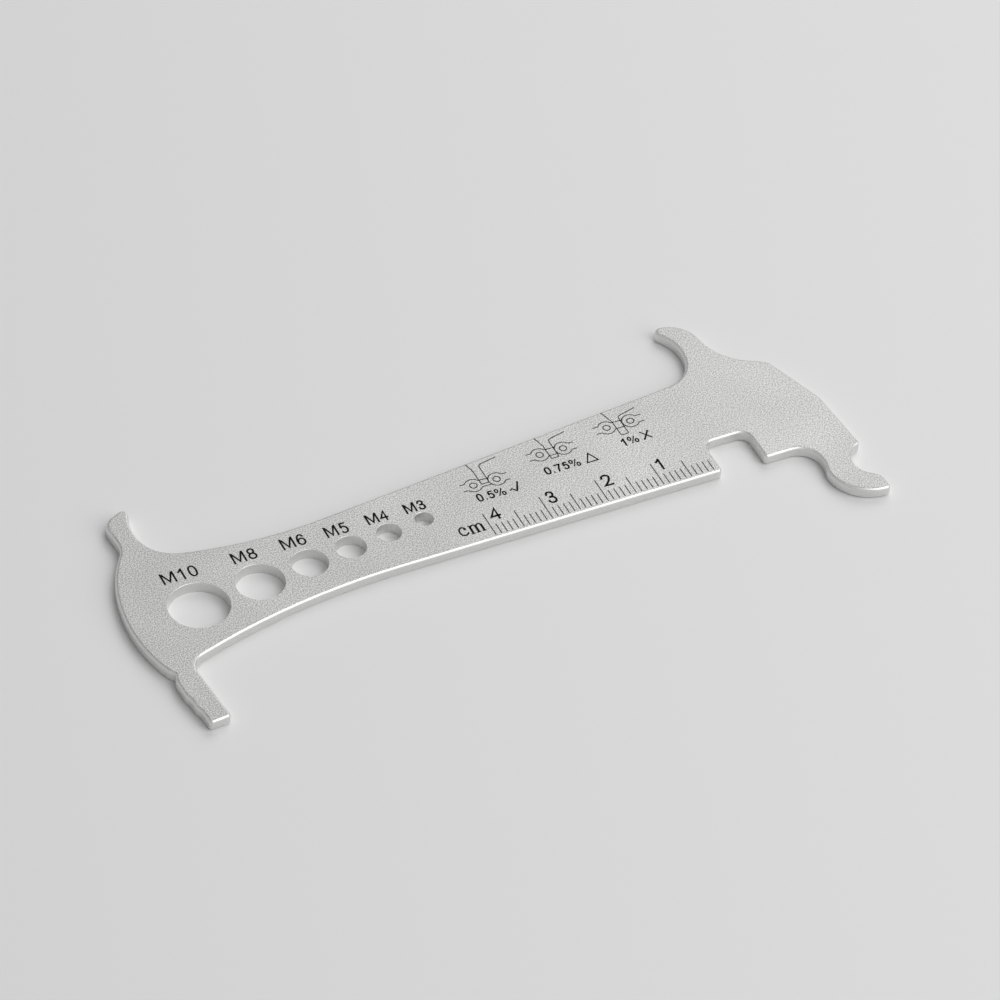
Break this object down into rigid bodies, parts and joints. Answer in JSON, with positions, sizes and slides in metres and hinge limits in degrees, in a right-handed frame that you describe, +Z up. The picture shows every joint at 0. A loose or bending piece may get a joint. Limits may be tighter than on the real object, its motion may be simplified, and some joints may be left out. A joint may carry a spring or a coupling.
{
  "type": "chain wear gauge",
  "caption": "Flat steel gauge for bicycle chain wear, with a hooked nose, a stepped measuring tooth, a square notch, two chain hook horns, a ruled edge and a row of screw size holes.",
  "frame": {"origin": "centre of the outline's box, on the under face", "axes": "+X along the plate, from the measuring tooth to the hooked nose; +Y across it, from the tip of the tooth to the horns of the chain hook; +Z up through the thickness, out of the marked face"},
  "size_m": [0.1258, 0.055, 0.002],
  "materials": {
    "steel": "tumbled satin stainless steel, bright rounded edges, black laser marks"
  },
  "bodies": {
    "root": {"gauge_plate": "steel"}
  },
  "joints": []
}
